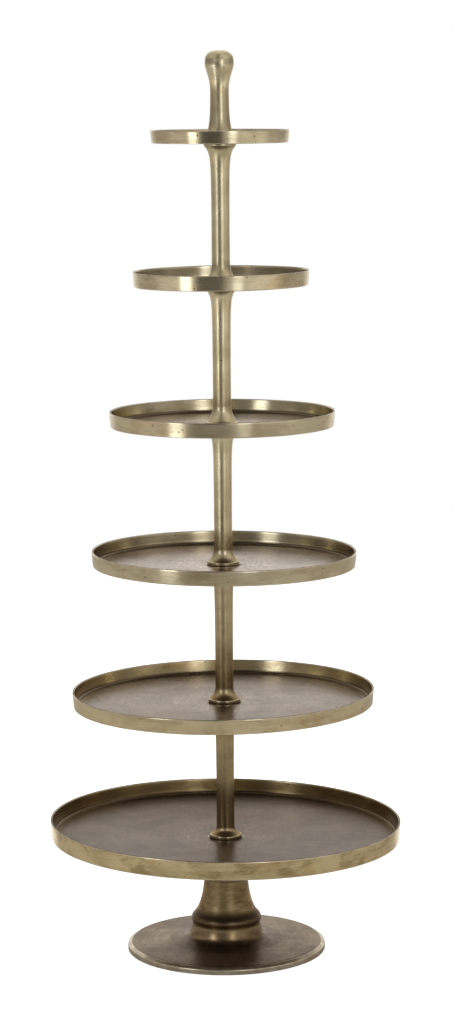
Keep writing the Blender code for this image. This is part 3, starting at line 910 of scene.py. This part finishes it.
def studio_floor():
    mesh = bpy.data.meshes.new("floor")
    turn = [math.tau * i / FLOOR_SIDES for i in range(FLOOR_SIDES)]
    edge = [(FLOOR_RADIUS * math.cos(t), FLOOR_RADIUS * math.sin(t), 0.0) for t in turn]
    mesh.from_pydata(edge, [], [tuple(range(FLOOR_SIDES))])
    floor = bpy.data.objects.new("floor", mesh)
    bpy.context.scene.collection.objects.link(floor)
    material = bpy.data.materials.new("floor_white")
    material.use_nodes = True
    g = Graph(material.node_tree)
    spot = g.node("SeparateXYZ", {0: g.node("NewGeometry").outputs["Position"]})
    aside = g.math("ABSOLUTE", spot.outputs[0])
    beyond = g.step(spot.outputs[1], FLOOR_SEEN_FROM - SEEN_FADE, FLOOR_SEEN_FROM + SEEN_FADE)
    paper = g.step(aside, PAPER_HALF_WIDTH + PAPER_FADE, PAPER_HALF_WIDTH - PAPER_FADE)
    seen = white_rays(g, g.math("MULTIPLY", beyond, paper))
    bare = g.step(spot.outputs[1], PAPER_FRONT + FRONT_FADE, PAPER_FRONT - FRONT_FADE)
    matt = g.node("BsdfDiffuse", {"Color": g.mix(bare, FLOOR_COLOUR, BARE_FLOOR_COLOUR)})
    glow = g.node("Emission", {"Strength": g.math("MULTIPLY", seen, FLOOR_GLOW)})
    both = g.node("AddShader", {0: matt.outputs[0], 1: glow.outputs[0]})
    g.node("OutputMaterial", {"Surface": both.outputs[0]})
    mesh.materials.append(material)


def studio_world():
    world = bpy.data.worlds.new("studio")
    bpy.context.scene.world = world
    world.use_nodes = True
    g = Graph(world.node_tree)
    way = g.node("SeparateXYZ", {0: g.node("TexCoord").outputs["Generated"]})
    azimuth = g.math("ARCTAN2", way.outputs[0], g.math("MULTIPLY", way.outputs[1], -1.0))
    off_gap = g.math("ABSOLUTE", g.math("SUBTRACT", azimuth, GAP_AZIMUTH))
    gap = g.step(way.outputs[2], *GAP_RISE, GAP_LEVEL, GAP_LEVEL_HIGH)
    edges = (GAP_HALF_WIDTH - GAP_SOFTNESS, GAP_HALF_WIDTH + GAP_SOFTNESS)
    room = g.step(off_gap, *edges, gap, ROOM_LEVEL)
    above, below = g.step(way.outputs[2], *DIM_LOW), g.step(way.outputs[2], *DIM_HIGH)
    level_view = g.math("MULTIPLY", above, below)
    for start, end, share in (LEFT_DIM, RIGHT_DIM):
        dim = g.math("MULTIPLY", g.step(azimuth, start, end, 0.0, share), level_view)
        room = g.math("MULTIPLY", room, g.math("SUBTRACT", 1.0, dim))
    for middle, reach, extra, start, end, least in (LEFT_WALL, RIGHT_WALL):
        off = g.math("ABSOLUTE", g.math("SUBTRACT", azimuth, middle))
        glow = g.step(off, reach, reach * WALL_CORE, 0.0, extra)
        glow = g.math("MULTIPLY", glow, g.step(way.outputs[2], start, end, least, 1.0))
        room = g.math("ADD", room, glow)
    behind = g.step(g.math("ABSOLUTE", azimuth), BACKDROP_FROM, BACKDROP_TO)
    level = g.math("ADD", room, g.math("MULTIPLY", behind, 1.0 - ROOM_LEVEL))
    white = white_rays(g, behind)
    level = g.math("MAXIMUM", level, white)
    light = g.node("Background", {"Color": g.mix(white, ROOM_COLOUR, WHITE), "Strength": level})
    g.node("OutputWorld", {"Surface": light.outputs[0]})


def softbox(name, azimuth, distance, width, low, high, radiance):
    lamp = bpy.data.lights.new(name, "AREA")
    lamp.shape = "RECTANGLE"
    lamp.size = width
    lamp.size_y = high - low
    lamp.color = SOFTBOX_COLOUR
    lamp.energy = radiance * math.pi * width * (high - low)
    piece = bpy.data.objects.new(name, lamp)
    bpy.context.scene.collection.objects.link(piece)
    piece.location = (distance * math.sin(azimuth), -distance * math.cos(azimuth), (low + high) / 2.0)
    piece.rotation_euler = (math.radians(90.0), 0.0, azimuth)
    piece.visible_camera = False


def photo_camera():
    lens = bpy.data.cameras.new("photo_camera")
    lens.sensor_fit = "VERTICAL"
    lens.sensor_height = SENSOR_HEIGHT
    lens.lens = FOCAL_PIXELS / PHOTO_HEIGHT * SENSOR_HEIGHT
    camera = bpy.data.objects.new("photo_camera", lens)
    bpy.context.scene.collection.objects.link(camera)
    tilt = Matrix.Rotation(math.pi / 2.0 - CAMERA_TILT, 4, "X")
    roll = Matrix.Rotation(CAMERA_ROLL, 4, "Z")
    camera.matrix_world = Matrix.Translation(CAMERA_PLACE) @ tilt @ roll
    bpy.context.scene.camera = camera


bpy.context.scene.view_settings.view_transform = "Standard"
build_pieces()
studio_floor()
studio_world()
for box in SOFTBOXES:
    softbox(*box)
photo_camera()

bpy.context.view_layer.update()
